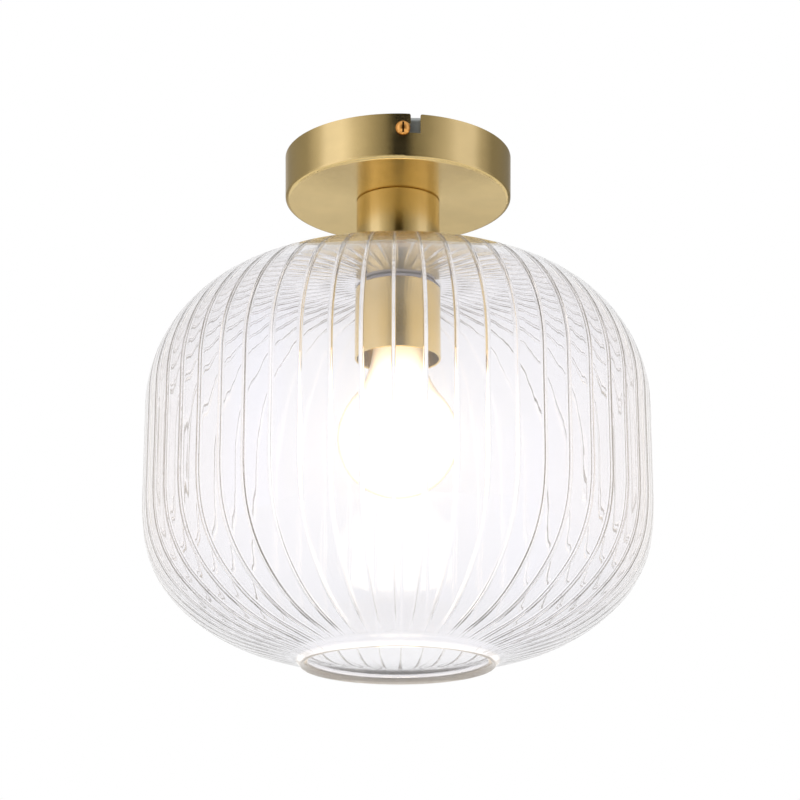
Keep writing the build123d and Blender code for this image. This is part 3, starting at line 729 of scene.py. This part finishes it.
class CEILING_OT_finishes(bpy.types.Operator):
    """Gives the metal, ceramic, plastic, rubber and bulb nodes their materials."""

    bl_idname = "ceiling.finishes"
    bl_label = "Finishes"

    def execute(self, context):
        finish = context.scene.ceiling_finish
        by_slot = {
            "satin_brass": satin_brass(finish),
            "polished_brass": plain_metal(
                "polished_brass", finish.screw_brass, roughness=0.14, marks=10 / 3
            ),
            "zinc_steel": plain_metal("zinc_plated_steel", finish.steel, roughness=0.38, marks=6.25),
            "plain_brass": plain_metal("drawn_brass", srgb("#D8B870"), roughness=0.3, marks=5.0),
            "spring_bronze": plain_metal("spring_bronze", srgb("#B98A5A"), roughness=0.3, marks=5.0),
            "cap_metal": plain_metal("drawn_aluminium", srgb("#D6D6D2"), roughness=0.3, marks=5.0),
            "ceramic": moulded("glazed_ceramic", srgb("#F0EEE6"), roughness=0.2, marks=12.5),
            "silicone": moulded("silicone_rubber", srgb("#BDBBC4"), roughness=0.45, marks=50 / 3, ior=1.42),
            "natural_plastic": moulded("natural_polyamide", srgb("#E6E3D6"), roughness=0.45, marks=12.5),
            "brown_wire": moulded("brown_pvc", srgb("#5A3320"), roughness=0.4, marks=10 / 3),
            "blue_wire": moulded("blue_pvc", srgb("#2358A5"), roughness=0.4, marks=10 / 3),
            "earth_wire": moulded("green_pvc", srgb("#7FA02A"), roughness=0.4, marks=10 / 3),
            "black_insulator": moulded("black_glass", srgb("#141416"), roughness=0.15, marks=10.0),
            "stem_glass": moulded("stem_glass", srgb("#EFEFF0"), roughness=0.1, marks=20.0),
            "filament": moulded("phosphor", srgb("#FFD98A"), roughness=0.6, marks=10.0),
            "frosted_glass": lit_bulb(finish),
        }
        for entry in frame["record"]["subparts"]:
            if entry["material_slot"] in by_slot:
                dress(by_slot[entry["material_slot"]], entry["node"])
        return {"FINISHED"}


def studio_world(scene):
    """White background for the camera and through the glass; side panels and a dark slot in reflections."""
    world = bpy.data.worlds.new("studio")
    scene.world = world
    world.use_nodes = True
    tree = world.node_tree
    tree.nodes.clear()
    direction = add_node(tree, "ShaderNodeTexCoord").outputs["Generated"]
    axes = add_node(tree, "ShaderNodeSeparateXYZ", {0: direction})
    front = add_node(tree, "ShaderNodeMath", {0: axes.outputs["Y"], 1: -1.0}, operation="MULTIPLY")
    azimuth = add_node(
        tree,
        "ShaderNodeMath",
        {0: axes.outputs["X"], 1: front.outputs[0]},
        operation="ARCTAN2",
    )
    spread = add_node(tree, "ShaderNodeMath", {0: azimuth.outputs[0]}, operation="ABSOLUTE")
    share = add_node(tree, "ShaderNodeMath", {0: spread.outputs[0], 1: pi}, operation="DIVIDE")
    panels = add_node(tree, "ShaderNodeValToRGB", {0: share.outputs[0]})
    stops = panels.color_ramp.elements
    while len(stops) < len(ROOM_LEVELS):
        stops.new(1.0)
    for stop, (degrees, level) in zip(stops, ROOM_LEVELS):
        stop.position = degrees / 180
        # Bright panels are a little cool and the dark room between them is warm
        stop.color = (level, level * (0.94 + 0.06 * level), level * (0.74 + 0.38 * level), 1)
    # The panel on the right is dimmer than the one on the left
    dim = add_node(
        tree,
        "ShaderNodeMapRange",
        {"Value": azimuth.outputs[0], "From Min": -0.4, "From Max": 0.4, "To Min": 1.05, "To Max": 0.82},
    )
    sides = add_node(
        tree,
        "ShaderNodeMix",
        {0: 1.0, 6: panels.outputs[0], 7: dim.outputs[0]},
        data_type="RGBA",
        blend_type="MULTIPLY",
    )
    height = add_node(tree, "ShaderNodeMath", {0: axes.outputs["Z"]}, operation="ABSOLUTE")
    steep = add_node(
        tree,
        "ShaderNodeMapRange",
        {"Value": height.outputs[0], "From Min": 0.5, "From Max": 0.9},
    )
    room = add_node(
        tree,
        "ShaderNodeMix",
        {0: steep.outputs[0], 6: sides.outputs[2], 7: STEEP_GREY},
        data_type="RGBA",
    )
    # The white field behind is narrow, so that edges of the glass show the warm room beside it
    behind = add_node(
        tree,
        "ShaderNodeMapRange",
        {"Value": share.outputs[0], "From Min": 0.74, "From Max": 0.88},
    )
    beside = add_node(
        tree,
        "ShaderNodeMapRange",
        {"Value": share.outputs[0], "From Min": 0.07, "From Max": 0.22},
    )
    pale = add_node(
        tree,
        "ShaderNodeMix",
        {0: beside.outputs[0], 6: room.outputs[2], 7: WARM_WHITE},
        data_type="RGBA",
        blend_type="LIGHTEN",
    )
    path = add_node(tree, "ShaderNodeLightPath")
    # Seen straight through the glass from the back, the front of the room is as white as the background
    ahead = add_node(
        tree,
        "ShaderNodeMapRange",
        {"Value": share.outputs[0], "From Min": 0.26, "From Max": 0.12},
    )
    straight = add_node(
        tree,
        "ShaderNodeMath",
        {0: path.outputs["Glossy Depth"], 1: 0.5},
        operation="LESS_THAN",
    )
    clear_ahead = add_node(
        tree,
        "ShaderNodeMath",
        {0: ahead.outputs[0], 1: straight.outputs[0]},
        operation="MULTIPLY",
    )
    field = add_node(
        tree,
        "ShaderNodeMath",
        {0: behind.outputs[0], 1: clear_ahead.outputs[0]},
        operation="MAXIMUM",
    )
    through = add_node(
        tree,
        "ShaderNodeMix",
        {0: field.outputs[0], 6: pale.outputs[2], 7: WHITE},
        data_type="RGBA",
    )
    sharp = add_node(
        tree,
        "ShaderNodeMath",
        {0: path.outputs["Is Transmission Ray"], 1: path.outputs["Is Singular Ray"]},
        operation="MAXIMUM",
    )
    clear = add_node(
        tree,
        "ShaderNodeMix",
        {0: sharp.outputs[0], 6: room.outputs[2], 7: through.outputs[2]},
        data_type="RGBA",
    )
    seen = add_node(
        tree,
        "ShaderNodeMix",
        {0: path.outputs["Is Camera Ray"], 6: clear.outputs[2], 7: WHITE},
        data_type="RGBA",
    )
    shader = add_node(tree, "ShaderNodeBackground", {"Color": seen.outputs[2], "Strength": 1.0})
    add_node(tree, "ShaderNodeOutputWorld", {"Surface": shader.outputs[0]})


def add_floor(scene, finish):
    """Pale floor under the ceiling light."""
    bm = bmesh.new()
    place = Matrix.Translation((0, 0, -FLOOR_DROP))
    bmesh.ops.create_grid(bm, x_segments=1, y_segments=1, size=FLOOR_REACH, matrix=place)
    mesh = bpy.data.meshes.new("floor")
    bm.to_mesh(mesh)
    bm.free()
    material, tree = new_material("pale_floor")
    shader = add_node(
        tree,
        "ShaderNodeBsdfPrincipled",
        {
            "Base Color": srgb("#F4F4F2"),
            "Roughness": 0.9,
            "Emission Color": finish.backdrop,
            "Emission Strength": 0.36,
        },
    )
    finish_material(tree, shader.outputs[0])
    mesh.materials.append(material)
    floor = bpy.data.objects.new("floor", mesh)
    scene.collection.objects.link(floor)
    return floor


def add_camera(scene):
    """Camera of the photograph: from the front and below, with a long lens."""
    data = bpy.data.cameras.new("camera")
    data.sensor_width = 36.0
    data.lens = 108.3
    camera = bpy.data.objects.new("camera", data)
    scene.collection.objects.link(camera)
    swing = radians(CAMERA_SWING)
    camera.location = (-CAMERA_DISTANCE * sin(swing), -CAMERA_DISTANCE * cos(swing), -CAMERA_DROP)
    camera.rotation_euler = (radians(90 + CAMERA_TILT), 0, -swing - radians(CAMERA_PAN))
    scene.camera = camera


class CEILING_OT_stage(bpy.types.Operator):
    """Sets up the floor, the studio world and the camera."""

    bl_idname = "ceiling.stage"
    bl_label = "Stage"

    def execute(self, context):
        scene = context.scene
        scene.view_settings.view_transform = "Standard"
        studio_world(scene)
        add_floor(scene, scene.ceiling_finish)
        add_camera(scene)
        return {"FINISHED"}


class CEILING_PT_panel(bpy.types.Panel):
    """Settings and steps of the ceiling light."""

    bl_label = "Ceiling Light"
    bl_idname = "CEILING_PT_panel"
    bl_space_type = "VIEW_3D"
    bl_region_type = "UI"
    bl_category = "Ceiling Light"

    def draw(self, context):
        scene = context.scene
        for group in (scene.ceiling_shade, scene.ceiling_cap, scene.ceiling_screw, scene.ceiling_finish):
            for name in group.__annotations__:
                self.layout.prop(group, name)
        for step in STEPS:
            self.layout.operator(step.bl_idname)


STEPS = (
    CEILING_OT_finishes,
    CEILING_OT_shade,
    CEILING_OT_bulb_cap,
    CEILING_OT_lock_screws,
    CEILING_OT_stage,
)
CLASSES = (ShadeSettings, CapSettings, ScrewSettings, FinishSettings, *STEPS, CEILING_PT_panel)


def register():
    for item in CLASSES:
        bpy.utils.register_class(item)
    bpy.types.Scene.ceiling_shade = bpy.props.PointerProperty(type=ShadeSettings)
    bpy.types.Scene.ceiling_cap = bpy.props.PointerProperty(type=CapSettings)
    bpy.types.Scene.ceiling_screw = bpy.props.PointerProperty(type=ScrewSettings)
    bpy.types.Scene.ceiling_finish = bpy.props.PointerProperty(type=FinishSettings)


def unregister():
    del bpy.types.Scene.ceiling_finish
    del bpy.types.Scene.ceiling_screw
    del bpy.types.Scene.ceiling_cap
    del bpy.types.Scene.ceiling_shade
    for item in reversed(CLASSES):
        bpy.utils.unregister_class(item)


def main():
    register()
    bpy.ops.ceiling.finishes()
    bpy.ops.ceiling.shade()
    bpy.ops.ceiling.bulb_cap()
    bpy.ops.ceiling.lock_screws()
    bpy.ops.ceiling.stage()


if __name__ == "__main__":
    main()
